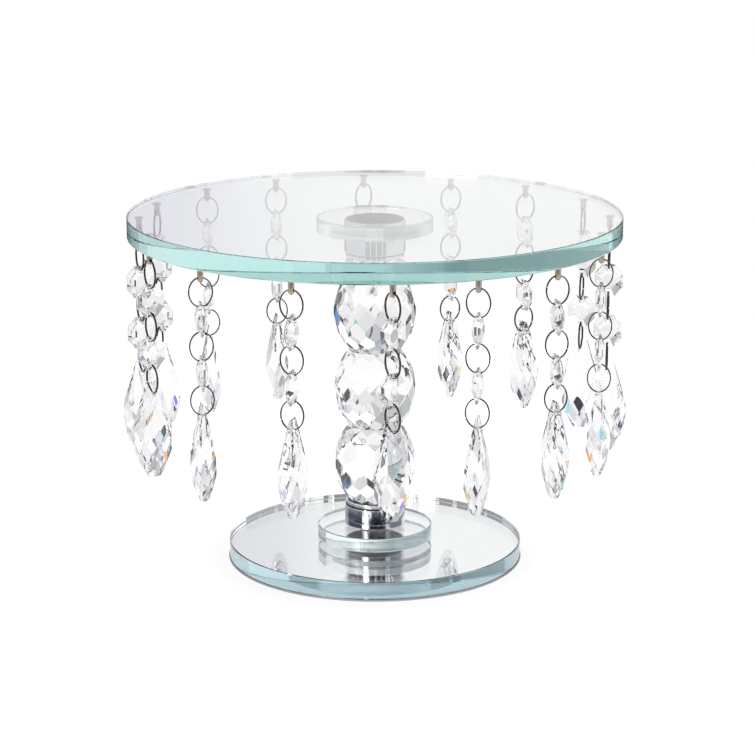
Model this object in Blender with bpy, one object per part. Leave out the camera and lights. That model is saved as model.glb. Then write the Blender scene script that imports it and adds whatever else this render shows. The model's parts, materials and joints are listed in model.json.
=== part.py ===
"""Crystal cake stand: a round glass plate on three cut-crystal balls over a mirror base.

Sixteen crystal strands hang from pins under the plate's rim. Each strand is a ring, an octagon bead,
a ring, a second octagon bead, a ring and an almond-shaped drop.
Metres, +Z up. The origin is the centre of the base's underside, on the stand's axis; the front is at -Y.
Run it with: blender --background --python part.py
"""

import math

import bmesh
import bpy
from mathutils import Matrix, Vector

# --- driving dimensions, metres --------------------------------------------------------------------------
GAP = 0.0003  # left between faces that are glued or touch

PLATE_DIAMETER = 0.254
PLATE_THICKNESS = 0.0106
PLATE_TOP = 0.184
BASE_DIAMETER = 0.1536
BASE_TOP = 0.010
BACKING_DIAMETER = 0.1546
BACKING_THICKNESS = 0.0010
HUB_DIAMETER = 0.060
HUB_THICKNESS = 0.0072
ARRIS = 0.0005  # ground edge of the flat glass pieces

COLLAR_DIAMETER = 0.0314
COLLAR_HEIGHT = 0.0130
COLLAR_LIP_HEIGHT = 0.0027  # the narrower lip at the end that meets a ball
COLLAR_LIP_STEP = 0.0008
COLLAR_ARRIS = 0.0004

BALL_NAMES = ("crystal_ball_lower", "crystal_ball_middle", "crystal_ball_upper")
BALL_DIAMETER = 0.0412
BALL_POLE_HEIGHT = 0.0520  # the ball's own height before its two ends are ground flat
BALL_FACETS = 12
BALL_TURN_DEG = 8.0  # each ball is glued a little turned from the one below it

PIN_CIRCLE_RADIUS = 0.121
PIN_HEAD_DIAMETER = 0.0048
PIN_HEAD_THICKNESS = 0.0006
PIN_STEM_DIAMETER = 0.0030
PIN_FLARE_HEIGHT = 0.0006
PIN_HOLE_BELOW_PLATE = 0.0048
PIN_TIP_BELOW_HOLE = 0.0024
PIN_HOLE_RADIUS = 0.00095

RING_WIDTH = 0.0122  # outside, across the ring
RING_HEIGHT = 0.0151  # outside, top to bottom
RING_BAND = 0.00095  # the flat wire's width, along the ring's own axis
RING_WIRE = 0.0006  # the flat wire's thickness
RING_SIDES = 12

LINK_PITCH = 0.0270  # from one ring's top to the next ring's top
BEAD_WIDTH = 0.0146
BEAD_HEIGHT = 0.0170
BEAD_THICKNESS = 0.0052
BEAD_EDGE = 0.0011
BEAD_TABLE = 0.46  # the flat table's share of the bead's width
HOLE_RADIUS = 0.0014
HANG = 0.0004  # how far a hole's centre sits from the centre of the wire that carries it

DROP_HALF_WIDTH = 0.0100
DROP_HALF_THICKNESS = 0.0063
DROP_ABOVE_HOLE = 0.0061
DROP_BELOW_HOLE = 0.0430
DROP_WIDEST_BELOW_HOLE = 0.0222
DROP_CURVES = (1.75, 2.2)  # exponents of the outline above and below the widest level
DROP_TOP_HALF = (0.0019, 0.0012)  # half width and half thickness at the top end
DROP_TIP_HALF = (0.0028, 0.0020)  # the same at the blunt tip
DROP_NECK_HALF = 0.0016  # half thickness at the hole, between two flat facets that open downwards
DROP_NECK_SLOPE = 0.20

# (angle round the rim from the front, the ring's turn about the vertical), degrees. The pins are glued by
# hand, so neither column is even; the turn is the direction of the ring's width, counted from +X.
STRANDS = (
    (4.0, -53.0),
    (23.9, -12.0),
    (47.0, 16.0),
    (69.0, -8.0),
    (91.0, 82.0),
    (113.5, 76.0),
    (137.0, 30.0),
    (159.5, 20.0),
    (-177.0, 41.0),
    (-153.0, 12.0),
    (-131.0, 6.0),
    (-108.0, 78.0),
    (-89.0, -66.0),
    (-67.8, -58.0),
    (-44.0, 14.0),
    (-19.0, -18.0),
)

PLATE_UNDERSIDE = PLATE_TOP - PLATE_THICKNESS
WIRE_CENTRE_HEIGHT = RING_HEIGHT - RING_WIRE  # between the wire's centre at a ring's top and at its bottom
WIRE_CENTRE_WIDTH = RING_WIDTH - RING_WIRE


# --- materials -------------------------------------------------------------------------------------------
def material(name, colour, roughness, metallic=0.0, transmission=0.0, ior=1.5):
    """A Principled material; each sub-part has one of its own."""
    mat = bpy.data.materials.new(name)
    mat.use_nodes = True
    mat.diffuse_color = (*colour, 1.0)
    shader = mat.node_tree.nodes["Principled BSDF"]
    shader.inputs["Base Color"].default_value = (*colour, 1.0)
    shader.inputs["Roughness"].default_value = roughness
    shader.inputs["Metallic"].default_value = metallic
    shader.inputs["Transmission Weight"].default_value = transmission
    shader.inputs["IOR"].default_value = ior
    return mat


def float_glass(name):
    return material(name, (0.80, 0.93, 0.91), 0.02, transmission=1.0, ior=1.52)


def cut_crystal(name):
    return material(name, (0.96, 0.97, 1.0), 0.0, transmission=1.0, ior=1.55)


def polished_chrome(name):
    return material(name, (0.60, 0.61, 0.64), 0.08, metallic=1.0)


def nickel(name):
    return material(name, (0.66, 0.58, 0.48), 0.22, metallic=1.0)


def grey_paint(name):
    return material(name, (0.42, 0.44, 0.48), 0.5)


# --- shapes ----------------------------------------------------------------------------------------------
def clear_scene():
    for old in list(bpy.data.objects):
        bpy.data.objects.remove(old, do_unlink=True)


def mesh_from(bm, name, smooth_angle_deg=None):
    """Turns a bmesh into a mesh with its faces pointing out; round pieces are shaded smooth."""
    bmesh.ops.recalc_face_normals(bm, faces=bm.faces)
    mesh = bpy.data.meshes.new(name)
    bm.to_mesh(mesh)
    bm.free()
    if smooth_angle_deg is not None:
        mesh.shade_smooth()
        mesh.set_sharp_from_angle(angle=math.radians(smooth_angle_deg))
    return mesh


matrix_of = {}  # each placed object's world matrix, for the pieces that hang from it


def place(name, mesh, mat, location=(0.0, 0.0, 0.0), turn_deg=0.0, parent=None):
    """Puts a mesh in the scene as one named object, at a world location and a turn about the vertical."""
    obj = bpy.data.objects.new(name, mesh)
    bpy.context.scene.collection.objects.link(obj)
    if not mesh.materials:
        mesh.materials.append(None)
    obj.material_slots[0].link = "OBJECT"
    obj.material_slots[0].material = mat
    world = Matrix.Translation(location) @ Matrix.Rotation(math.radians(turn_deg), 4, "Z")
    if parent is not None:
        obj.parent = parent
        world = matrix_of[parent.name].inverted() @ world
    obj.location = world.to_translation()
    obj.rotation_euler = world.to_euler()
    matrix_of[name] = matrix_of[parent.name] @ world if parent is not None else world
    return obj


def turned(profile, sides):
    """Revolves (radius, height) points, listed from the bottom up, about Z and caps both ends."""
    bm = bmesh.new()
    loops = []
    for radius, height in profile:
        loop = []
        for k in range(sides):
            angle = 2 * math.pi * k / sides
            loop.append(bm.verts.new((radius * math.cos(angle), radius * math.sin(angle), height)))
        loops.append(loop)
    for low, high in zip(loops, loops[1:]):
        for k in range(sides):
            n = (k + 1) % sides
            bm.faces.new((low[k], low[n], high[n], high[k]))
    bm.faces.new(list(reversed(loops[0])))
    bm.faces.new(loops[-1])
    return bm


def glass_disc(diameter, thickness, sides):
    """A flat disc standing on z = 0, with ground edges."""
    r = diameter / 2
    return turned([(r - ARRIS, 0), (r, ARRIS), (r, thickness - ARRIS), (r - ARRIS, thickness)], sides)


def cut_by_planes(size, planes):
    """Cuts a block by (point, outward normal) planes, one after another, as a gem is cut facet by facet."""
    bm = bmesh.new()
    bmesh.ops.create_cube(bm, size=size)
    for point, normal in planes:
        geometry = bm.verts[:] + bm.edges[:] + bm.faces[:]
        cut = bmesh.ops.bisect_plane(
            bm, geom=geometry, dist=1e-6, plane_co=point, plane_no=normal, clear_outer=True
        )
        edges = [item for item in cut["geom_cut"] if isinstance(item, bmesh.types.BMEdge)]
        if edges:
            bmesh.ops.contextual_create(bm, geom=edges)
    bmesh.ops.remove_doubles(bm, verts=bm.verts, dist=2e-6)
    return bm


def combined(name, operation, base, others):
    """Adds shapes to a base one, or cuts them from it, by Boolean modifiers; each is (mesh, matrix)."""
    mesh, matrix = base
    body = bpy.data.objects.new(name + "_base", mesh)
    body.matrix_world = matrix
    helpers = [body]
    for number, (mesh, matrix) in enumerate(others):
        helper = bpy.data.objects.new(f"{name}_{number}", mesh)
        helper.matrix_world = matrix
        helper.hide_render = True
        helper.display_type = "WIRE"
        helpers.append(helper)
        step = body.modifiers.new(helper.name, "BOOLEAN")
        step.operation = operation
        step.object = helper
    for helper in helpers:
        bpy.context.scene.collection.objects.link(helper)
    bpy.context.view_layer.update()
    depsgraph = bpy.context.evaluated_depsgraph_get()
    finished = bpy.data.meshes.new_from_object(body.evaluated_get(depsgraph))
    finished.name = name
    finished.transform(body.matrix_world)
    for helper in helpers:
        bpy.data.objects.remove(helper)
    return finished


def drilled(name, bm, height, radius, length):
    """Drills one straight hole along X through a shape, at a height on its Z axis."""
    drill = bmesh.new()
    bmesh.ops.create_cone(
        drill, cap_ends=True, segments=8, radius1=radius, radius2=radius, depth=length
    )
    along_x = Matrix.Rotation(math.pi / 2, 4, "Y") @ Matrix.Rotation(math.pi / 8, 4, "Z")
    place_of_drill = Matrix.Translation((0, 0, height)) @ along_x
    base = (mesh_from(bm, name), Matrix.Identity(4))
    return combined(name, "DIFFERENCE", base, [(mesh_from(drill, name), place_of_drill)])


# --- the column ------------------------------------------------------------------------------------------
def collar_mesh():
    """A solid metal collar standing on z = 0, with its narrower lip at the top."""
    r = COLLAR_DIAMETER / 2
    lip = r - COLLAR_LIP_STEP
    step = COLLAR_HEIGHT - COLLAR_LIP_HEIGHT
    profile = [
        (r - COLLAR_ARRIS, 0),
        (r, COLLAR_ARRIS),
        (r, step),
        (lip, step + COLLAR_ARRIS),
        (lip, COLLAR_HEIGHT - COLLAR_ARRIS),
        (lip - COLLAR_ARRIS, COLLAR_HEIGHT),
    ]
    return mesh_from(turned(profile, 24), "collar", 30)


def ball_mesh(height):
    """A faceted ball centred on the origin: an upright ellipsoid with both ends ground flat."""
    width, pole = BALL_DIAMETER / 2, BALL_POLE_HEIGHT / 2
    planes = [((0, 0, height / 2), (0, 0, 1)), ((0, 0, -height / 2), (0, 0, -1))]
    # (latitude in degrees, turned by half a facet)
    rows = ((0.0, False), (19.0, True), (38.0, False), (52.0, True))
    for latitude_deg, offset in rows:
        latitude = math.radians(latitude_deg)
        for k in range(BALL_FACETS):
            turn = 2 * math.pi * (k + (0.5 if offset else 0.0)) / BALL_FACETS
            for side in (1, -1) if latitude_deg else (1,):
                out = Vector((math.cos(turn) * math.cos(latitude), math.sin(turn) * math.cos(latitude), 0))
                point = out * width + Vector((0, 0, side * pole * math.sin(latitude)))
                normal = out / width + Vector((0, 0, side * math.sin(latitude) / pole))
                planes.append((point, normal.normalized()))
    return mesh_from(cut_by_planes(4 * width, planes), "crystal_ball")


def build_column():
    glass = glass_disc(BASE_DIAMETER, BASE_TOP - BACKING_THICKNESS - GAP, 80)
    backing = turned([(BACKING_DIAMETER / 2, 0), (BACKING_DIAMETER / 2, BACKING_THICKNESS)], 80)
    place("mirror_backing", mesh_from(backing, "mirror_backing", 30), grey_paint("mirror_backing"))
    place(
        "mirror_base",
        mesh_from(glass, "mirror_base", 30),
        material("mirror_base", (0.86, 0.90, 0.93), 0.02, metallic=0.6, ior=1.52),
        (0, 0, BACKING_THICKNESS + GAP),
    )
    hub = mesh_from(glass_disc(HUB_DIAMETER, HUB_THICKNESS, 48), "hub_disc", 30)
    collar = collar_mesh()
    flipped = collar.copy()
    flipped.transform(Matrix.Rotation(math.pi, 4, "X"))

    level = BASE_TOP + GAP
    place("lower_hub_disc", hub, float_glass("lower_hub_disc"), (0, 0, level))
    level += HUB_THICKNESS + GAP
    place("lower_collar", collar, polished_chrome("lower_collar"), (0, 0, level))
    level += COLLAR_HEIGHT + GAP

    top = PLATE_UNDERSIDE - GAP - HUB_THICKNESS
    place("upper_hub_disc", hub, float_glass("upper_hub_disc"), (0, 0, top))
    top -= GAP
    place("upper_collar", flipped, polished_chrome("upper_collar"), (0, 0, top))
    top -= COLLAR_HEIGHT + GAP

    count = len(BALL_NAMES)
    height = (top - level - (count - 1) * GAP) / count
    ball = ball_mesh(height)
    for k, name in enumerate(BALL_NAMES):
        centre = level + height / 2 + k * (height + GAP)
        place(name, ball, cut_crystal(name), (0, 0, centre), k * BALL_TURN_DEG)

    plate = mesh_from(glass_disc(PLATE_DIAMETER, PLATE_THICKNESS, 96), "cake_plate", 30)
    place("cake_plate", plate, float_glass("cake_plate"), (0, 0, PLATE_UNDERSIDE))


# --- the strands -----------------------------------------------------------------------------------------
# Strand frame: X along the holes and across the rings' width, Y along the rings' own axis, Z up.
def pin_mesh():
    """A flat-headed pin with a cross hole, its hole's centre at the origin."""
    top = PIN_HOLE_BELOW_PLATE - GAP
    tip = PIN_TIP_BELOW_HOLE
    stem = PIN_STEM_DIAMETER / 2
    head = PIN_HEAD_DIAMETER / 2
    profile = [
        (stem * 0.45, -tip),
        (stem, -tip + stem * 0.5),
        (stem, top - PIN_HEAD_THICKNESS - PIN_FLARE_HEIGHT),
        (head, top - PIN_HEAD_THICKNESS),
        (head, top),
    ]
    return drilled("pin", turned(profile, 8), 0.0, PIN_HOLE_RADIUS, 3 * head)


def ring_mesh():
    """An oval ring of flat wire in the XZ plane, hung with the wire's centre at its top at the origin."""
    bm = bmesh.new()
    loops = []
    swell = 1 / math.cos(math.pi / RING_SIDES)  # the straight sides' middles lie on the oval
    for k in range(RING_SIDES):
        angle = 2 * math.pi * (k + 0.5) / RING_SIDES
        loop = []
        for wire, band in ((-1, -1), (1, -1), (1, 1), (-1, 1)):
            half_width = (WIRE_CENTRE_WIDTH + wire * RING_WIRE) / 2 * swell
            half_height = (WIRE_CENTRE_HEIGHT + wire * RING_WIRE) / 2 * swell
            x = half_width * math.sin(angle)
            z = half_height * math.cos(angle) - WIRE_CENTRE_HEIGHT / 2
            loop.append(bm.verts.new((x, band * RING_BAND / 2, z)))
        loops.append(loop)
    for k in range(RING_SIDES):
        here, there = loops[k], loops[(k + 1) % RING_SIDES]
        for n in range(4):
            bm.faces.new((here[n], there[n], there[(n + 1) % 4], here[(n + 1) % 4]))
    return mesh_from(bm, "ring")


def bead_mesh():
    """An octagon bead in the YZ plane, centred on the origin."""
    wide, tall, thick = BEAD_WIDTH / 2, BEAD_HEIGHT / 2, BEAD_THICKNESS / 2
    planes = [((thick, 0, 0), (1, 0, 0)), ((-thick, 0, 0), (-1, 0, 0))]
    slope = (thick - BEAD_EDGE / 2) / (1 - BEAD_TABLE)
    for k in range(8):
        angle = math.pi * k / 4
        # the octagon's sides are those of a round one, stretched to the bead's height
        rim = Vector((0, wide * math.sin(angle), tall * math.cos(angle)))
        out = Vector((0, math.sin(angle) / wide, math.cos(angle) / tall))
        planes.append((rim, out.normalized()))
        for side in (1, -1):
            crown = rim + Vector((side * BEAD_EDGE / 2, 0, 0))
            planes.append((crown, (out * slope + Vector((side, 0, 0))).normalized()))
    return mesh_from(cut_by_planes(3 * tall, planes), "bead")


def chain_mesh():
    """Three rings and the two beads between them as one solid: the wires run through the beads' glass."""
    ring, bead = ring_mesh(), bead_mesh()
    bead_centre = WIRE_CENTRE_HEIGHT + (LINK_PITCH - WIRE_CENTRE_HEIGHT) / 2

    def lowered(distance):
        return Matrix.Translation((0, 0, -distance))

    others = [
        (ring, lowered(LINK_PITCH)),
        (ring, lowered(2 * LINK_PITCH)),
        (bead, lowered(bead_centre)),
        (bead, lowered(LINK_PITCH + bead_centre)),
    ]
    return combined("chain", "UNION", (ring, Matrix.Identity(4)), others)


def drop_outline(height, top, widest, tip):
    """Half width and half thickness of the drop at a height, and how fast each grows with height."""
    upper = height > widest
    span = top - widest if upper else widest - tip
    end = DROP_TOP_HALF if upper else DROP_TIP_HALF
    curve = DROP_CURVES[0 if upper else 1]
    share = abs(height - widest) / span
    values = []
    for full, small in zip((DROP_HALF_WIDTH, DROP_HALF_THICKNESS), end):
        size = small + (full - small) * (1 - share**curve)
        fall = -(full - small) * curve * share ** (curve - 1) / span
        values.append((size, fall if upper else -fall))
    return values


def drop_mesh():
    """An almond-shaped drop with its hole's centre HANG below the origin; its width is along Y."""
    top, tip = DROP_ABOVE_HOLE - HANG, -DROP_BELOW_HOLE - HANG
    widest = -DROP_WIDEST_BELOW_HOLE - HANG
    planes = [((0, 0, top), (0, 0, 1)), ((0, 0, tip), (0, 0, -1))]
    for side in (1, -1):
        neck = Vector((side, 0, DROP_NECK_SLOPE)).normalized()
        planes.append(((side * DROP_NECK_HALF, 0, -HANG), neck))
    # (height as a share of the way from the widest level to an end, facets round, turned by half a facet)
    rows = (
        (top, 0.70, 8, True),
        (top, 0.32, 8, False),
        (top, 0.0, 8, True),
        (tip, 0.36, 8, False),
        (tip, 0.62, 8, True),
        (tip, 0.86, 8, False),
    )
    for end, share, facets, offset in rows:
        height = widest + (end - widest) * share
        (wide, wide_growth), (thick, thick_growth) = drop_outline(height, top, widest, tip)
        for k in range(facets):
            turn = 2 * math.pi * (k + (0.5 if offset else 0.0)) / facets
            along_x, along_y = math.cos(turn), math.sin(turn)
            lean = -(along_x**2 * thick_growth / thick + along_y**2 * wide_growth / wide)
            normal = Vector((along_x / thick, along_y / wide, lean))
            planes.append(((along_x * thick, along_y * wide, height), normal.normalized()))
    blank = cut_by_planes(3 * DROP_BELOW_HOLE, planes)
    return drilled("drop", blank, -HANG, HOLE_RADIUS, 4 * DROP_HALF_THICKNESS)


def build_strands():
    pin, chain, drop = pin_mesh(), chain_mesh(), drop_mesh()
    hole_level = PLATE_UNDERSIDE - PIN_HOLE_BELOW_PLATE
    drop_hang = 2 * LINK_PITCH + WIRE_CENTRE_HEIGHT
    for number, (angle_deg, turn_deg) in enumerate(STRANDS, 1):
        angle = math.radians(angle_deg)
        x, y = PIN_CIRCLE_RADIUS * math.sin(angle), -PIN_CIRCLE_RADIUS * math.cos(angle)
        name = f"strand_{number:02d}"
        place(f"{name}_pin", pin, nickel(f"{name}_pin"), (x, y, hole_level), turn_deg)
        links = place(f"{name}_chain", chain, cut_crystal(f"{name}_chain"), (x, y, hole_level), turn_deg)
        low = (x, y, hole_level - drop_hang)
        place(f"{name}_drop", drop, cut_crystal(f"{name}_drop"), low, turn_deg, links)


clear_scene()
build_column()
build_strands()
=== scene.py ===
"""Looks of the crystal cake stand: cut crystal, float glass, chrome and steel, round the CAD frame."""

import json
import math

import bmesh
import bpy
from mathutils import Matrix, Vector


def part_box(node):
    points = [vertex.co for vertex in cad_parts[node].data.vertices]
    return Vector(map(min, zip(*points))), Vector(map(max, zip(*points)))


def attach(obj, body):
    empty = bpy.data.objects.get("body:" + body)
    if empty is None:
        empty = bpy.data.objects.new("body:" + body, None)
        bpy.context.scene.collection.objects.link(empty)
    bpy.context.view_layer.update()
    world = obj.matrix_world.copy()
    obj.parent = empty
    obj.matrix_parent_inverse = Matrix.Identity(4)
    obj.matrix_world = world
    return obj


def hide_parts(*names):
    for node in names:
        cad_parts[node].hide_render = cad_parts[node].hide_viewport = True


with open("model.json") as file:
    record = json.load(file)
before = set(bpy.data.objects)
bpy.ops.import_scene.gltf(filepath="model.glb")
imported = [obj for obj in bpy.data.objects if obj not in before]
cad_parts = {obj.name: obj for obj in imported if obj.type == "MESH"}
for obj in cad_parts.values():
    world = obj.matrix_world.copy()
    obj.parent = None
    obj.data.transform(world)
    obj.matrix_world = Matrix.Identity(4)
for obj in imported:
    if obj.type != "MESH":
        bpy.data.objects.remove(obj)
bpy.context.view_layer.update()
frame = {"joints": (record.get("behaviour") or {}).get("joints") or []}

# --- sizes taken from the frame, metres --------------------------------------------------------------------
BASE_LOW, BASE_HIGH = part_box("mirror_base")
BACKING_LOW, BACKING_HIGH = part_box("mirror_backing")
PIN_LOW, PIN_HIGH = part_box("strand_01_pin")
DROP_LOW, DROP_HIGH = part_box("strand_01_drop")
SWINGS = [j for j in frame["joints"] if j["name"].endswith("_swing")]
TILTS = [j for j in frame["joints"] if j["name"].endswith("_drop_tilt")]

# --- sizes of the fine detail, metres ----------------------------------------------------------------------
PLATE_ARRIS = 0.0005
BASE_STEPS = 224  # sides round the base's discs
CRISP_DEG = 8.0  # turned pieces are smooth round their axis and crisp along their profile
COLLAR_LIP_STEP = 0.0008
GLUE_OVERLAP = 0.00002  # the clear adhesive wets the glass on both sides of a joint
COLLAR_LIP_HEIGHT = 0.0027
COLLAR_EDGE = 0.0003
COLLAR_GROOVE = 0.0004
COLLAR_GROOVE_HEIGHT = 0.0008

RING_WIDTH = 0.0122
RING_HEIGHT = 0.0151
RING_BAND = 0.00095
RING_WIRE = 0.0006
RING_STEPS = 72
RING_SEAM = 0.00025  # the gap where the bent wire's ends meet
WIRE_HEIGHT = RING_HEIGHT - RING_WIRE
WIRE_WIDTH = RING_WIDTH - RING_WIRE
LINK_PITCH = 0.0270

BEAD_WIDTH = 0.0146
BEAD_HEIGHT = 0.0170
BEAD_THICKNESS = 0.0052
BEAD_EDGE = 0.0009
HOLE_RADIUS = 0.0011
HANG = 0.0005  # how far a drilled hole's centre sits from the centre of the wire that carries it

DROP_HALF_WIDTH = 0.0100
DROP_HALF_THICKNESS = 0.0063
DROP_WIDEST_BELOW_HOLE = 0.0222
DROP_CURVES = (1.75, 2.2)
DROP_TOP_HALF = (0.0019, 0.0012)
DROP_TIP_HALF = (0.0028, 0.0020)
DROP_NECK_HALF = 0.0016
DROP_NECK_SLOPE = 0.20

BALL_NAMES = ("crystal_ball_lower", "crystal_ball_middle", "crystal_ball_upper")
BALL_DIAMETER = 0.0412
BALL_POLE_HEIGHT = 0.0520
BALL_FACETS = 12
BALL_TURN_DEG = 8.0

PIN_STEM = 0.0015
PIN_HEAD = 0.0024
PIN_HEAD_THICKNESS = 0.0006
PIN_FLARE = 0.0006
PIN_HOLE = 0.0009

SURFACE_BOUNCES = 1  # a reflection from the first surface met
PLATE_BOUNCES = 2  # straight in and out of the plate
MIRROR_BOUNCES = 5  # in and out of the base's glass, off the silver, in and out again
TABLE_RADIUS = 0.50
TABLE_GREY = 0.32
TABLE_GLOW = 0.80

CAMERA_DISTANCE = 1.2774
CAMERA_HEIGHT = 0.4263
CAMERA_PITCH_DEG = 14.482
CAMERA_LENS_MM = 120.55
CAMERA_SHIFT = 0.0035


# --- materials ---------------------------------------------------------------------------------------------
def new_material(name):
    mat = bpy.data.materials.new(name)
    mat.use_nodes = True
    return mat, mat.node_tree, mat.node_tree.nodes["Principled BSDF"]


def fine_noise(tree, scale, detail=2.0):
    """Object-space noise, so that a pattern stays on its piece."""
    coords = tree.nodes.new("ShaderNodeTexCoord")
    noise = tree.nodes.new("ShaderNodeTexNoise")
    noise.inputs["Scale"].default_value = scale
    noise.inputs["Detail"].default_value = detail
    tree.links.new(coords.outputs["Object"], noise.inputs["Vector"])
    return noise


def add_bump(tree, shader, height, strength, distance):
    bump = tree.nodes.new("ShaderNodeBump")
    bump.inputs["Strength"].default_value = strength
    bump.inputs["Distance"].default_value = distance
    tree.links.new(height, bump.inputs["Height"])
    tree.links.new(bump.outputs["Normal"], shader.inputs["Normal"])


def vary(tree, source, socket, low, high):
    """Drives a shader socket from a noise, between two values."""
    span = tree.nodes.new("ShaderNodeMapRange")
    span.inputs["From Min"].default_value = 0.3
    span.inputs["From Max"].default_value = 0.7
    span.inputs["To Min"].default_value = low
    span.inputs["To Max"].default_value = high
    tree.links.new(source, span.inputs["Value"])
    tree.links.new(span.outputs["Result"], socket)


def absorb(tree, colour, density):
    """A clear glass's own tint, which deepens with the length of glass that light goes through."""
    volume = tree.nodes.new("ShaderNodeVolumeAbsorption")
    volume.inputs["Color"].default_value = (*colour, 1.0)
    volume.inputs["Density"].default_value = density
    output = tree.nodes["Material Output"]
    tree.links.new(volume.outputs["Volume"], output.inputs["Volume"])


def glass(name, ior, tint=None, density=0.0, clear=(1.0, 1.0, 1.0), waviness=0.0, scale=60.0, rough=0.0):
    mat, tree, shader = new_material(name)
    shader.inputs["Base Color"].default_value = (*clear, 1.0)
    shader.inputs["Roughness"].default_value = rough
    shader.inputs["Transmission Weight"].default_value = 1.0
    shader.inputs["IOR"].default_value = ior
    if tint:
        absorb(tree, tint, density)
    if waviness:
        noise = fine_noise(tree, scale)
        add_bump(tree, shader, noise.outputs["Fac"], waviness, 0.0002)
    return mat


def ground_glass(name, ior, tint, density):
    """The ground and polished rim of a glass disc: faint lines run round it."""
    mat, tree, shader = new_material(name)
    shader.inputs["Base Color"].default_value = (1.0, 1.0, 1.0, 1.0)
    shader.inputs["Transmission Weight"].default_value = 1.0
    shader.inputs["IOR"].default_value = ior
    shader.inputs["Roughness"].default_value = 0.0
    absorb(tree, tint, density)
    coords = tree.nodes.new("ShaderNodeTexCoord")
    squeeze = tree.nodes.new("ShaderNodeMapping")
    squeeze.inputs["Scale"].default_value = (6.0, 6.0, 900.0)
    lines = tree.nodes.new("ShaderNodeTexNoise")
    lines.inputs["Scale"].default_value = 1.0
    tree.links.new(coords.outputs["Object"], squeeze.inputs["Vector"])
    tree.links.new(squeeze.outputs["Vector"], lines.inputs["Vector"])
    add_bump(tree, shader, lines.outputs["Fac"], 0.02, 0.0001)
    return mat


def metal(name, colour, roughness, noise_scale, bump=0.05):
    mat, tree, shader = new_material(name)
    shader.inputs["Base Color"].default_value = (*colour, 1.0)
    shader.inputs["Metallic"].default_value = 1.0
    noise = fine_noise(tree, noise_scale, 4.0)
    vary(tree, noise.outputs["Fac"], shader.inputs["Roughness"], roughness * 0.7, roughness * 1.5)
    add_bump(tree, shader, noise.outputs["Fac"], bump, 0.0001)
    return mat


def backing_paint(name):
    mat, tree, shader = new_material(name)
    noise = fine_noise(tree, 900.0, 6.0)
    ramp = tree.nodes.new("ShaderNodeValToRGB")
    ramp.color_ramp.elements[0].color = (0.30, 0.32, 0.36, 1.0)
    ramp.color_ramp.elements[1].color = (0.38, 0.40, 0.44, 1.0)
    tree.links.new(noise.outputs["Fac"], ramp.inputs["Fac"])
    tree.links.new(ramp.outputs["Color"], shader.inputs["Base Color"])
    vary(tree, noise.outputs["Fac"], shader.inputs["Roughness"], 0.35, 0.55)
    add_bump(tree, shader, noise.outputs["Fac"], 0.15, 0.00005)
    return mat


PLATE_IOR = 1.43
PLATE_TINT = (0.55, 0.80, 0.78)
PLATE_DENSITY = 7.5
BASE_TINT = (0.60, 0.76, 0.80)
BASE_DENSITY = 14.0


def make_materials():
    return {
        "plate": glass("plate_glass", PLATE_IOR, PLATE_TINT, PLATE_DENSITY, clear=(0.80, 0.785, 0.79)),
        "plate_edge": ground_glass("plate_glass_edge", PLATE_IOR, PLATE_TINT, PLATE_DENSITY),
        "base": glass("base_glass", 1.52, BASE_TINT, BASE_DENSITY),
        "base_edge": ground_glass("base_glass_edge", 1.52, BASE_TINT, BASE_DENSITY),
        "hub": glass("hub_glass", 1.52, (0.75, 0.88, 0.87), 5.0),
        "hub_edge": ground_glass("hub_glass_edge", 1.52, (0.75, 0.88, 0.87), 5.0),
        # A paler copy of the hub glass for the upper hub disc: painted light, so the disc seen through the
        # plate looks lighter.
        "pale_hub": glass("pale_hub_glass", 1.52, (0.85, 0.93, 0.93), 2.0),
        "pale_hub_edge": ground_glass("pale_hub_glass_edge", 1.52, (0.85, 0.93, 0.93), 2.0),
        "glue": glass("clear_adhesive", 1.52, waviness=0.02, scale=90.0),
        "crystal": glass("cut_crystal", 1.56, clear=(0.90, 0.90, 0.91)),
        "ball": glass("cut_crystal_ball", 1.56, clear=(0.91, 0.905, 0.895), rough=0.035),
        "chrome": metal("polished_chrome", (0.62, 0.63, 0.67), 0.015, 300.0, 0.01),
        "foot_chrome": metal("hammered_chrome", (0.62, 0.63, 0.67), 0.008, 1300.0, 0.25),
        # Near-black chrome on the collars' end faces and groove: painted shade, darker than lit satin chrome
        # would look.
        "end_face_painted_shade": metal("chrome_face_painted_shade", (0.08, 0.08, 0.083), 0.45, 900.0, 0.1),
        "silver": metal("mirror_silver", (0.96, 0.93, 0.92), 0.004, 200.0, 0.0),
        "paint": backing_paint("backing_paint"),
        # Near-black steel: painted shade, standing in for the dark surroundings that the polished rings
        # reflect.
        "steel": metal("ring_steel", (0.055, 0.05, 0.045), 0.14, 1500.0, 0.05),
        "nickel": metal("pin_nickel", (0.42, 0.35, 0.28), 0.2, 1200.0, 0.08),
    }


# --- mesh tools --------------------------------------------------------------------------------------------
def mesh_from(bm, name, mats, smooth_deg=None):
    bmesh.ops.recalc_face_normals(bm, faces=bm.faces)
    mesh = bpy.data.meshes.new(name)
    bm.to_mesh(mesh)
    bm.free()
    for mat in mats:
        mesh.materials.append(mat)
    if smooth_deg is not None:
        round_off(mesh, smooth_deg)
    return mesh


def round_off(mesh, smooth_deg):
    """Smooth shading round the body, with every end face and every edge above the angle kept crisp."""
    mesh.shade_smooth()
    mesh.set_sharp_from_angle(angle=math.radians(smooth_deg))
    for face in mesh.polygons:
        if len(face.vertices) > 4:
            face.use_smooth = False


def piece(name, mesh, body, world, stands_for):
    """Puts a mesh in the scene as one piece that rides on a CAD body and stands for CAD nodes."""
    obj = bpy.data.objects.new(name, mesh)
    bpy.context.scene.collection.objects.link(obj)
    obj.matrix_world = world
    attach(obj, body)
    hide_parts(*stands_for)
    return obj


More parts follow.
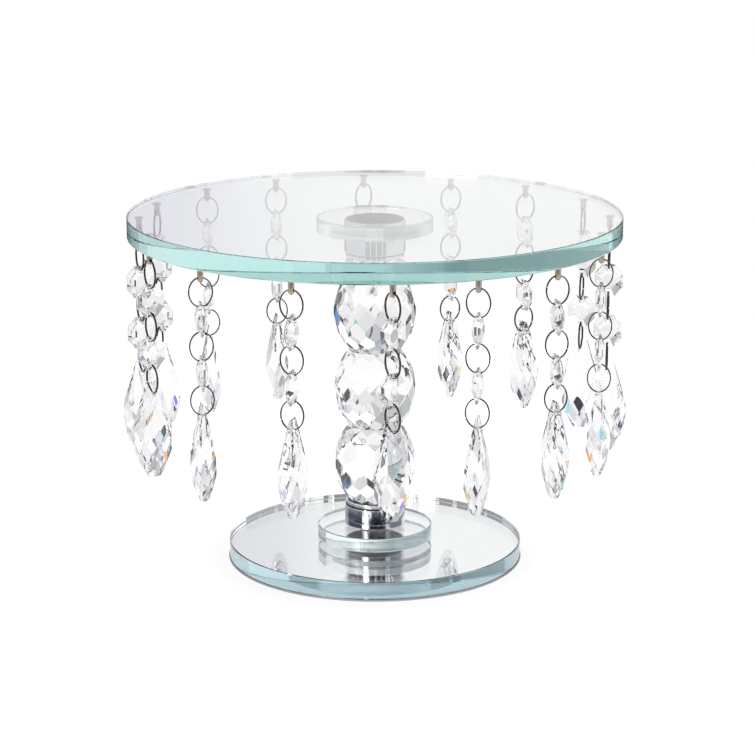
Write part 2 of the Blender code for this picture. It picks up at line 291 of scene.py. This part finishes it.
def turned(profile, sides, rim_material=None):
    """Revolves (radius, height) points, from the bottom up; rim_material goes on all but the flat ends."""
    bm = bmesh.new()
    loops = []
    for radius, height in profile:
        loop = []
        for k in range(sides):
            angle = 2 * math.pi * k / sides
            loop.append(bm.verts.new((radius * math.cos(angle), radius * math.sin(angle), height)))
        loops.append(loop)
    for low, high in zip(loops, loops[1:]):
        for k in range(sides):
            n = (k + 1) % sides
            face = bm.faces.new((low[k], low[n], high[n], high[k]))
            face.material_index = rim_material or 0
    bm.faces.new(list(reversed(loops[0])))
    bm.faces.new(loops[-1])
    return bm


def cut_by_planes(size, planes):
    """Cuts a block by (point, outward normal) planes, facet by facet, as a gem is cut."""
    bm = bmesh.new()
    bmesh.ops.create_cube(bm, size=size)
    for point, normal in planes:
        geometry = bm.verts[:] + bm.edges[:] + bm.faces[:]
        cut = bmesh.ops.bisect_plane(
            bm, geom=geometry, dist=1e-6, plane_co=point, plane_no=normal, clear_outer=True
        )
        edges = [item for item in cut["geom_cut"] if isinstance(item, bmesh.types.BMEdge)]
        if edges:
            bmesh.ops.contextual_create(bm, geom=edges)
    bmesh.ops.remove_doubles(bm, verts=bm.verts, dist=2e-6)
    return bm


def drilled(name, mesh, heights, radius, length):
    """Drills holes along X through a shape, at heights on its Z axis."""
    drill = bmesh.new()
    for height in heights:
        bmesh.ops.create_cone(
            drill,
            cap_ends=True,
            segments=20,
            radius1=radius,
            radius2=radius,
            depth=length,
            matrix=Matrix.Translation((0, 0, height)) @ Matrix.Rotation(math.pi / 2, 4, "Y"),
        )
    blank = bpy.data.objects.new(name + "_blank", mesh)
    helper = bpy.data.objects.new(name + "_drill", mesh_from(drill, name + "_drill", list(mesh.materials)))
    cut = blank.modifiers.new("holes", "BOOLEAN")
    cut.object = helper
    for obj in (blank, helper):
        bpy.context.scene.collection.objects.link(obj)
    bpy.context.view_layer.update()
    depsgraph = bpy.context.evaluated_depsgraph_get()
    finished = bpy.data.meshes.new_from_object(blank.evaluated_get(depsgraph))
    finished.name = name
    for obj in (blank, helper):
        bpy.data.objects.remove(obj)
    return finished


def disc_mesh(name, low, high, mats, sides):
    """A glass disc that fills its CAD box, with a rounded arris at each edge."""
    radius = (high.x - low.x) / 2
    thick = high.z - low.z
    profile = [(radius - PLATE_ARRIS, 0.0)]
    for corner, start in ((PLATE_ARRIS, -90), (thick - PLATE_ARRIS, 0)):
        for step in range(5):
            angle = math.radians(start + 22.5 * step)
            r = radius - PLATE_ARRIS + PLATE_ARRIS * math.cos(angle)
            profile.append((r, corner + PLATE_ARRIS * math.sin(angle)))
    return mesh_from(turned(profile[1:], sides, 1), name, mats, CRISP_DEG)


def build_glue(mats):
    """Clear adhesive in the column's flat joints, which lets light pass as if the glass were one block."""
    joints = (
        ("base_hub_adhesive", "mirror_base", "lower_hub_disc", "lower_hub_disc", 0.0002),
        ("lower_collar_adhesive", "lower_hub_disc", "lower_collar", "lower_collar", 0.0006),
        ("upper_collar_adhesive", "upper_collar", "upper_hub_disc", "upper_collar", 0.0006),
        ("plate_hub_adhesive", "upper_hub_disc", "cake_plate", "upper_hub_disc", 0.0002),
    )
    for name, under, over, narrow, inset in joints:
        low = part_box(under)[1].z - GLUE_OVERLAP
        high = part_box(over)[0].z + GLUE_OVERLAP
        left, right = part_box(narrow)
        radius = (right.x - left.x) / 2 - PLATE_ARRIS - inset
        film = turned([(radius, 0.0), (radius, high - low)], 128)
        mesh = mesh_from(film, name, [mats["glue"]], CRISP_DEG)
        piece(name, mesh, "stand", Matrix.Translation((0, 0, low)), [narrow])


def collar_mesh(mats, height, radius):
    """A chrome collar on z = 0: a barrel and, at its top, the narrower lip that holds the ball."""
    lip = radius - COLLAR_LIP_STEP
    step = height - COLLAR_LIP_HEIGHT
    e = COLLAR_EDGE
    profile = [
        (radius - e, 0.0),
        (radius - 0.3 * e, 0.3 * e),
        (radius, e),
        (radius, step - e),
        (radius - 0.3 * e, step - 0.3 * e),
        (radius - e, step),
        (lip - COLLAR_GROOVE, step + 0.0001),
        (lip - COLLAR_GROOVE, step + COLLAR_GROOVE_HEIGHT - 0.0001),
        (lip, step + COLLAR_GROOVE_HEIGHT),
        (lip, height - 2 * e),
        (lip - 0.6 * e, height - 0.6 * e),
        (lip - 2 * e, height),
    ]
    body = turned(profile, 160, 1)
    # The groove's faces take the end-face material: painted shade in the recess under the lip.
    for face in body.faces:
        if step < face.calc_center_median().z < step + COLLAR_GROOVE_HEIGHT:
            face.material_index = 0
    return mesh_from(body, "collar", mats, CRISP_DEG)


def ball_planes(height):
    width, pole = BALL_DIAMETER / 2, BALL_POLE_HEIGHT / 2
    planes = [((0, 0, height / 2), (0, 0, 1)), ((0, 0, -height / 2), (0, 0, -1))]
    rows = ((0.0, False), (19.0, True), (38.0, False), (52.0, True))
    for latitude_deg, offset in rows:
        latitude = math.radians(latitude_deg)
        for k in range(BALL_FACETS):
            turn = 2 * math.pi * (k + (0.5 if offset else 0.0)) / BALL_FACETS
            for side in (1, -1) if latitude_deg else (1,):
                out = Vector((math.cos(turn) * math.cos(latitude), math.sin(turn) * math.cos(latitude), 0))
                point = out * width + Vector((0, 0, side * pole * math.sin(latitude)))
                normal = out / width + Vector((0, 0, side * math.sin(latitude) / pole))
                planes.append((point, normal.normalized()))
    return planes


def build_column(mats):
    discs = (
        ("cake_plate", "plate", 288, "plate_glass"),
        # The upper hub takes the paler copy of the hub glass: painted light.
        ("upper_hub_disc", "pale_hub", 160, "hub_glass"),
        ("lower_hub_disc", "hub", 160, "hub_glass"),
        ("mirror_base", "base", BASE_STEPS, "base_mirror"),
    )
    for node, glass_name, sides, slot in discs:
        low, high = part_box(node)
        mesh = disc_mesh(node + "_glass", low, high, [mats[glass_name], mats[glass_name + "_edge"]], sides)
        piece(node + "_glass", mesh, "stand", Matrix.Translation((0, 0, low.z)), [node])

    silver_radius = (BASE_HIGH.x - BASE_LOW.x) / 2 - 0.0004
    silver = turned([(silver_radius, 0.00008), (silver_radius, 0.00022)], BASE_STEPS)
    under = Matrix.Translation((0, 0, BACKING_HIGH.z))
    piece("mirror_silver", mesh_from(silver, "mirror_silver", [mats["silver"]], CRISP_DEG), "stand", under,
          ["mirror_base"])
    r, t = (BACKING_HIGH.x - BACKING_LOW.x) / 2, BACKING_HIGH.z - BACKING_LOW.z
    backing = turned([(r - 0.0003, 0), (r, 0.0003), (r, t - 0.0002), (r - 0.0002, t)], BASE_STEPS)
    film = mesh_from(backing, "mirror_backing_film", [mats["paint"]], CRISP_DEG)
    piece("mirror_backing_film", film, "stand", Matrix.Translation((0, 0, BACKING_LOW.z)),
          ["mirror_backing"])

    low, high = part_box("lower_collar")
    height, radius = high.z - low.z, (high.x - low.x) / 2
    foot = collar_mesh([mats["end_face_painted_shade"], mats["foot_chrome"]], height, radius)
    collar = collar_mesh([mats["end_face_painted_shade"], mats["chrome"]], height, radius)
    piece("lower_collar_chrome", foot, "stand", Matrix.Translation((0, 0, low.z)), ["lower_collar"])
    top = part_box("upper_collar")[1].z
    upside_down = Matrix.Translation((0, 0, top)) @ Matrix.Rotation(math.pi, 4, "X")
    piece("upper_collar_chrome", collar, "stand", upside_down, ["upper_collar"])

    low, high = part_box(BALL_NAMES[0])
    ball = mesh_from(cut_by_planes(0.1, ball_planes(high.z - low.z)), "crystal_ball", [mats["ball"]])
    for k, node in enumerate(BALL_NAMES):
        turn = Matrix.Rotation(math.radians(k * BALL_TURN_DEG), 4, "Z")
        low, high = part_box(node)
        centre = Matrix.Translation((0, 0, (low.z + high.z) / 2))
        piece(node + "_cut", ball, "stand", centre @ turn, [node])


# --- strands -----------------------------------------------------------------------------------------------
# Strand frame: X along the holes and across the rings' width, Y along the rings' axis, Z up, origin at the
# centre of the pin's cross hole, where the top of the first ring's wire lies.
def pin_mesh(mats, head_top, tip):
    neck = head_top - PIN_HEAD_THICKNESS - PIN_FLARE
    profile = [(0.0003, tip), (0.0009, tip + 0.00025), (0.00132, tip + 0.0007), (PIN_STEM, tip + 0.0013)]
    profile.append((PIN_STEM, neck))
    for step in range(1, 7):
        share = step / 6
        profile.append((PIN_STEM + (PIN_HEAD - PIN_STEM) * share**1.6, neck + PIN_FLARE * share))
    profile.append((PIN_HEAD, head_top - 0.00008))
    profile.append((PIN_HEAD - 0.00008, head_top))
    blank = mesh_from(turned(profile, 40), "pin", mats)
    mesh = drilled("pin", blank, [0.0], PIN_HOLE, 0.02)
    round_off(mesh, 20)
    return mesh


def ring_mesh(mats, seam_deg):
    """A bent oval ring of flat wire with rounded edges and a hairline seam, its wire's top at the origin."""
    bm = bmesh.new()
    half_x, half_z = WIRE_WIDTH / 2, WIRE_HEIGHT / 2
    wire, band, soft = RING_WIRE / 2, RING_BAND / 2, 0.00012
    section = []
    for side_wire, side_band in ((1, 1), (-1, 1), (-1, -1), (1, -1)):
        corner = (side_wire * (wire - soft), side_band * (band - soft))
        start = math.degrees(math.atan2(side_band, side_wire)) - 45
        for step in (0, 45, 90):
            angle = math.radians(start + step)
            section.append((corner[0] + soft * math.cos(angle), corner[1] + soft * math.sin(angle)))
    gap = RING_SEAM / half_x
    loops = []
    for k in range(RING_STEPS + 1):
        angle = math.radians(seam_deg) + gap / 2 + (2 * math.pi - gap) * k / RING_STEPS
        out = Vector((math.sin(angle) / half_x, 0, math.cos(angle) / half_z)).normalized()
        centre = Vector((half_x * math.sin(angle), 0, half_z * math.cos(angle) - half_z))
        loops.append([bm.verts.new(centre + out * a + Vector((0, b, 0))) for a, b in section])
    count = len(section)
    for here, there in zip(loops, loops[1:]):
        for n in range(count):
            bm.faces.new((here[n], there[n], there[(n + 1) % count], here[(n + 1) % count]))
    bm.faces.new(loops[0])
    bm.faces.new(list(reversed(loops[-1])))
    return mesh_from(bm, "ring", mats, 50)


def bead_mesh(mats):
    """An octagon bead in the YZ plane: a table, eight kites, eight stars and a thin edge, drilled twice."""
    wide, tall, thick = BEAD_WIDTH / 2, BEAD_HEIGHT / 2, BEAD_THICKNESS / 2
    planes = [((thick, 0, 0), (1, 0, 0)), ((-thick, 0, 0), (-1, 0, 0))]
    for k in range(16):
        angle = math.pi * k / 8
        out = Vector((0, math.sin(angle) / wide, math.cos(angle) / tall))
        corner = k % 2
        rim = Vector((0, wide * math.sin(angle), tall * math.cos(angle)))
        if not corner:
            planes.append((rim, out.normalized()))
        for side in (1, -1):
            if corner:
                start = rim * 0.80 + Vector((side * (BEAD_EDGE / 2 + 0.0013), 0, 0))
                planes.append((start, (out * 0.0026 + Vector((side, 0, 0))).normalized()))
            else:
                start = rim + Vector((side * BEAD_EDGE / 2, 0, 0))
                planes.append((start, (out * 0.0039 + Vector((side, 0, 0))).normalized()))
    spacing = LINK_PITCH - WIRE_HEIGHT - 2 * HANG
    blank = mesh_from(cut_by_planes(3 * tall, planes), "bead", mats)
    return drilled("bead", blank, [spacing / 2, -spacing / 2], HOLE_RADIUS, 4 * thick)


def drop_outline(height, top, widest, tip):
    upper = height > widest
    span = top - widest if upper else widest - tip
    end = DROP_TOP_HALF if upper else DROP_TIP_HALF
    curve = DROP_CURVES[0 if upper else 1]
    share = abs(height - widest) / span
    values = []
    for full, small in zip((DROP_HALF_WIDTH, DROP_HALF_THICKNESS), end):
        size = small + (full - small) * (1 - share**curve)
        fall = -(full - small) * curve * share ** (curve - 1) / span
        values.append((size, fall if upper else -fall))
    return values


def drop_mesh(mats, top, tip):
    """An almond drop, its width along Y, with the wire that carries it at the origin."""
    widest = -DROP_WIDEST_BELOW_HOLE - HANG
    planes = [((0, 0, top), (0, 0, 1)), ((0, 0, tip), (0, 0, -1))]
    for side in (1, -1):
        neck = Vector((side, 0, DROP_NECK_SLOPE)).normalized()
        planes.append(((side * DROP_NECK_HALF, 0, -HANG), neck))
    rows = (
        (top, 0.50, 8, False),
        (top, 0.0, 8, True),
        (tip, 0.36, 8, False),
        (tip, 0.62, 8, True),
        (tip, 0.86, 8, False),
    )
    for end, share, facets, offset in rows:
        height = widest + (end - widest) * share
        (wide, wide_growth), (thick, thick_growth) = drop_outline(height, top, widest, tip)
        for k in range(facets):
            turn = 2 * math.pi * (k + (0.5 if offset else 0.0)) / facets
            along_x, along_y = math.cos(turn), math.sin(turn)
            lean = -(along_x**2 * thick_growth / thick + along_y**2 * wide_growth / wide)
            normal = Vector((along_x / thick, along_y / wide, lean))
            planes.append(((along_x * thick, along_y * wide, height), normal.normalized()))
    blank = mesh_from(cut_by_planes(0.2, planes), "drop", mats)
    return drilled("drop", blank, [-HANG], HOLE_RADIUS, 0.04)


def build_strands(mats):
    first = Vector(SWINGS[0]["pos_m"])
    low_wire = Vector(TILTS[0]["pos_m"])
    pin = pin_mesh([mats["nickel"]], PIN_HIGH.z - first.z, PIN_LOW.z - first.z)
    rings = [ring_mesh([mats["steel"]], seam) for seam in (75, 250, 110)]
    bead = bead_mesh([mats["crystal"]])
    drop = drop_mesh([mats["crystal"]], DROP_HIGH.z - low_wire.z, DROP_LOW.z - low_wire.z)
    bead_drop = WIRE_HEIGHT + (LINK_PITCH - WIRE_HEIGHT) / 2
    for swing, tilt in zip(SWINGS, TILTS):
        name = swing["name"].removesuffix("_swing")
        chain, drop_body = swing["child"], tilt["child"]
        turn = math.atan2(swing["axis"][1], swing["axis"][0])
        facing = Matrix.Rotation(turn, 4, "Z")
        hole = Matrix.Translation(swing["pos_m"]) @ facing

        def lowered(distance):
            return Matrix.Translation((0, 0, -distance))

        piece(f"{name}_hanger_pin", pin, "stand", hole, [f"{name}_pin"])
        for k, ring in enumerate(rings):
            piece(f"{name}_ring_{k + 1}", ring, chain, hole @ lowered(k * LINK_PITCH), [chain])
        for k in range(2):
            at = hole @ lowered(bead_drop + k * LINK_PITCH)
            piece(f"{name}_bead_{k + 1}", bead, chain, at, [chain])
        at = Matrix.Translation(tilt["pos_m"]) @ facing
        piece(f"{name}_almond_drop", drop, drop_body, at, [drop_body])


# --- studio ------------------------------------------------------------------------------------------------
def build_floor():
    bm = bmesh.new()
    bmesh.ops.create_circle(bm, cap_ends=True, segments=128, radius=TABLE_RADIUS)
    mat, _, shader = new_material("studio_floor")
    shader.inputs["Base Color"].default_value = (TABLE_GREY, TABLE_GREY, TABLE_GREY, 1.0)
    shader.inputs["Roughness"].default_value = 1.0
    shader.inputs["Specular IOR Level"].default_value = 0.0
    shader.inputs["Emission Color"].default_value = (1.0, 1.0, 1.0, 1.0)
    shader.inputs["Emission Strength"].default_value = TABLE_GLOW
    floor = bpy.data.objects.new("studio_floor", mesh_from(bm, "studio_floor", [mat]))
    bpy.context.scene.collection.objects.link(floor)
    floor.location.z = -0.0002


def build_world():
    """White studio air for the eye and the floor; glass and metal also see its darker walls and gaps."""
    world = bpy.data.worlds.new("studio")
    bpy.context.scene.world = world
    world.use_nodes = True
    tree = world.node_tree
    nodes, links = tree.nodes, tree.links

    def math_node(operation, first, second=None, third=None):
        node = nodes.new("ShaderNodeMath")
        node.operation = operation
        for socket, value in zip(node.inputs, (first, second, third)):
            if value is None:
                continue
            if isinstance(value, (int, float)):
                socket.default_value = value
            else:
                links.new(value, socket)
        return node.outputs[0]

    def blend(factor, below, above):
        node = nodes.new("ShaderNodeMix")
        node.data_type = "RGBA"
        for key, value in (("Factor", factor), ("A", below), ("B", above)):
            if isinstance(value, tuple):
                node.inputs[key].default_value = (*value, 1.0)
            else:
                links.new(value, node.inputs[key])
        return node.outputs["Result"]

    def cell_colours(scale, stops):
        cells = nodes.new("ShaderNodeTexVoronoi")
        cells.inputs["Scale"].default_value = scale
        split = nodes.new("ShaderNodeSeparateColor")
        ramp = nodes.new("ShaderNodeValToRGB")
        ramp.color_ramp.interpolation = "CONSTANT"
        while len(ramp.color_ramp.elements) < len(stops):
            ramp.color_ramp.elements.new(0.5)
        for element, (position, colour) in zip(ramp.color_ramp.elements, stops):
            element.position = position
            element.color = (*colour, 1.0)
        links.new(coords.outputs["Generated"], cells.inputs["Vector"])
        links.new(cells.outputs["Color"], split.inputs["Color"])
        links.new(split.outputs["Red"], ramp.inputs["Fac"])
        return ramp.outputs["Color"], cells.outputs["Position"]

    coords = nodes.new("ShaderNodeTexCoord")
    path = nodes.new("ShaderNodeLightPath")
    true_way = nodes.new("ShaderNodeSeparateXYZ")
    links.new(coords.outputs["Generated"], true_way.inputs["Vector"])

    ragged_way = nodes.new("ShaderNodeSeparateXYZ")
    links.new(cell_colours(22.0, [(0.0, (1.0, 1.0, 1.0))])[1], ragged_way.inputs["Vector"])
    toward = math_node("MULTIPLY", ragged_way.outputs["Y"], -1.0)
    azimuth = math_node("ARCTAN2", ragged_way.outputs["X"], toward)
    low_band = math_node("COMPARE", true_way.outputs["Z"], 0.26, 0.34)
    below = math_node("COMPARE", true_way.outputs["Z"], -0.34, 0.29)
    below = math_node("MULTIPLY", below, path.outputs["Is Reflection Ray"])

    def sector(from_deg, to_deg, band):
        middle, half = math.radians((from_deg + to_deg) / 2), math.radians((to_deg - from_deg) / 2)
        return math_node("MULTIPLY", math_node("COMPARE", azimuth, middle, half), band)

    true_toward = math_node("MULTIPLY", true_way.outputs["Y"], -1.0)
    true_azimuth = math_node("ARCTAN2", true_way.outputs["X"], true_toward)
    collar_band = math_node("COMPARE", true_way.outputs["Z"], 0.28, 0.07)
    wall_band = math_node("COMPARE", true_way.outputs["Z"], 0.27, 0.14)
    rim_band = math_node("COMPARE", true_way.outputs["Z"], -0.26, 0.06)
    rim_band = math_node("MULTIPLY", rim_band, path.outputs["Is Transmission Ray"])

    def without(band, bounces):
        """Leaves a band out for the rays that reach the studio after exactly this many bounces.

        The renderer counts the arrival at the studio as one bounce more.
        """
        straight = math_node("COMPARE", path.outputs["Ray Depth"], bounces + 1.0, 0.5)
        return math_node("MULTIPLY", band, math_node("SUBTRACT", 1.0, straight))

    rim_band = without(rim_band, PLATE_BOUNCES)
    collar_band = without(without(collar_band, SURFACE_BOUNCES), MIRROR_BOUNCES)
    dark_wall_band = without(without(wall_band, SURFACE_BOUNCES), MIRROR_BOUNCES)

    def rising(from_deg, to_deg, until_deg, band):
        """Grows from nothing to full strength over a range of azimuth, then holds until a last azimuth."""
        ramp = nodes.new("ShaderNodeMapRange")
        ramp.interpolation_type = "SMOOTHSTEP"
        ramp.inputs["From Min"].default_value = math.radians(from_deg)
        ramp.inputs["From Max"].default_value = math.radians(to_deg)
        links.new(true_azimuth, ramp.inputs["Value"])
        inside = math_node("LESS_THAN", true_azimuth, math.radians(until_deg))
        return math_node("MULTIPLY", math_node("MULTIPLY", ramp.outputs["Result"], inside), band)

    lavender_band = math_node("MULTIPLY", low_band, path.outputs["Is Reflection Ray"])
    green_band = math_node("MULTIPLY", wall_band, path.outputs["Is Transmission Ray"])

    slats = math_node("FRACT", math_node("MULTIPLY_ADD", true_azimuth, 2.519, 1.8514))
    slats = math_node("MULTIPLY", math_node("GREATER_THAN", slats, 0.22), below)

    # each wall: its first and last azimuth in degrees, 0 towards the front, then the heights that show it
    walls = blend(sector(-160, -50, low_band), (1.0, 1.0, 1.0), (0.82, 0.815, 0.86))
    walls = blend(rising(-178.6, -174.5, -125.0, lavender_band), walls, (0.71, 0.70, 0.80))
    walls = blend(rising(-179.7, -177.6, -125.0, green_band), walls, (0.80, 0.80, 0.83))
    walls = blend(rising(-177.5, -169.0, -125.0, green_band), walls, (0.44, 0.48, 0.49))
    walls = blend(sector(130, 174, green_band), walls, (1.25, 1.25, 1.25))
    walls = blend(sector(-50, -24, low_band), walls, (2.6, 2.6, 2.6))
    walls = blend(sector(-24, 42, dark_wall_band), walls, (0.02, 0.02, 0.026))
    walls = blend(sector(60, 110, low_band), walls, (0.86, 0.86, 0.88))
    walls = blend(sector(-125, -50, collar_band), walls, (0.09, 0.09, 0.12))
    walls = blend(sector(-42, -30, collar_band), walls, (7.0, 7.0, 7.0))
    walls = blend(sector(60, 128, collar_band), walls, (0.28, 0.28, 0.34))
    walls = blend(sector(-150, -42, below), walls, (0.74, 0.72, 0.82))
    walls = blend(sector(-174, -140, below), walls, (0.10, 0.11, 0.12))
    walls = blend(sector(140, 174, below), walls, (0.10, 0.11, 0.12))
    walls = blend(math_node("MULTIPLY", slats, sector(-42, 43, below)), walls, (0.16, 0.16, 0.18))
    walls = blend(sector(-30, 22, rim_band), walls, (0.16, 0.16, 0.18))
    walls = blend(sector(27, 125, rim_band), walls, (0.16, 0.18, 0.19))
    walls = blend(sector(-125, -60, rim_band), walls, (0.30, 0.34, 0.34))

    soft = [
        (0.0, (0.98, 0.98, 0.98)),
        (0.40, (0.88, 0.88, 0.89)),
        (0.62, (0.80, 0.79, 0.85)),
        (0.86, (0.58, 0.59, 0.61)),
    ]
    sparks = [
        (0.0, (0.98, 0.98, 0.98)),
        (0.46, (0.80, 0.79, 0.87)),
        (0.62, (0.45, 0.46, 0.48)),
        (0.68, (0.02, 0.02, 0.025)),
        (0.78, (1.0, 0.45, 0.10)),
        (0.82, (0.08, 0.36, 1.0)),
        (0.87, (0.36, 0.20, 1.0)),
        (0.90, (1.0, 0.85, 0.22)),
        (0.95, (0.25, 0.88, 1.0)),
    ]
    fire = math_node("COMPARE", true_way.outputs["Z"], 0.0, 0.14)
    fire = math_node("MULTIPLY", fire, path.outputs["Is Transmission Ray"])
    veil = math_node("COMPARE", true_way.outputs["Z"], 0.27, 0.15)
    veil = math_node("MULTIPLY", veil, path.outputs["Is Reflection Ray"])
    gain = nodes.new("ShaderNodeVectorMath")
    gain.operation = "SCALE"
    links.new(walls, gain.inputs[0])
    links.new(math_node("MULTIPLY_ADD", veil, 0.25, 1.0), gain.inputs["Scale"])
    seen = blend(fire, gain.outputs["Vector"], cell_colours(9.0, soft)[0])
    seen = blend(sector(-158, 158, fire), seen, cell_colours(9.0, sparks)[0])
    seen = blend(sector(175, 180.2, fire), seen, (0.02, 0.02, 0.025))
    both = math_node("MAXIMUM", path.outputs["Is Transmission Ray"], path.outputs["Is Glossy Ray"])
    colour = blend(both, (1.0, 1.0, 1.0), seen)
    links.new(colour, nodes["Background"].inputs["Color"])


def build_lights():
    def softbox(name, location, aim, size, power):
        data = bpy.data.lights.new(name, "AREA")
        data.shape = "RECTANGLE"
        data.size, data.size_y = size
        data.energy = power
        lamp = bpy.data.objects.new(name, data)
        bpy.context.scene.collection.objects.link(lamp)
        lamp.location = location
        lamp.rotation_euler = (Vector(aim) - Vector(location)).to_track_quat("-Z", "Y").to_euler()

    softbox("strip_left", (-0.75, -0.95, 0.62), (0, 0, 0.09), (0.03, 0.3), 1.6)
    softbox("strip_right", (1.1, -0.55, 0.75), (0, 0, 0.1), (0.03, 0.3), 1.6)
    softbox("strip_back", (0.6, 1.0, 1.1), (0, 0, 0.1), (0.05, 0.3), 1.6)


def build_camera():
    data = bpy.data.cameras.new("camera")
    data.lens = CAMERA_LENS_MM
    data.sensor_width = 36.0
    data.shift_x = CAMERA_SHIFT
    data.clip_end = 50.0
    camera = bpy.data.objects.new("camera", data)
    bpy.context.scene.collection.objects.link(camera)
    camera.location = (0, -CAMERA_DISTANCE, CAMERA_HEIGHT)
    camera.rotation_euler = (math.radians(90 - CAMERA_PITCH_DEG), 0, 0)
    bpy.context.scene.camera = camera


def set_light_paths():
    scene = bpy.context.scene
    scene.view_settings.view_transform = "Standard"
    cycles = scene.cycles
    cycles.max_bounces = 24
    cycles.transmission_bounces = 20
    cycles.glossy_bounces = 8
    cycles.diffuse_bounces = 2
    cycles.transparent_max_bounces = 8
    cycles.caustics_reflective = False
    cycles.caustics_refractive = False
    cycles.sample_clamp_indirect = 6.0


materials = make_materials()
build_camera()
build_column(materials)
build_glue(materials)
build_strands(materials)
build_floor()
build_world()
build_lights()
set_light_paths()
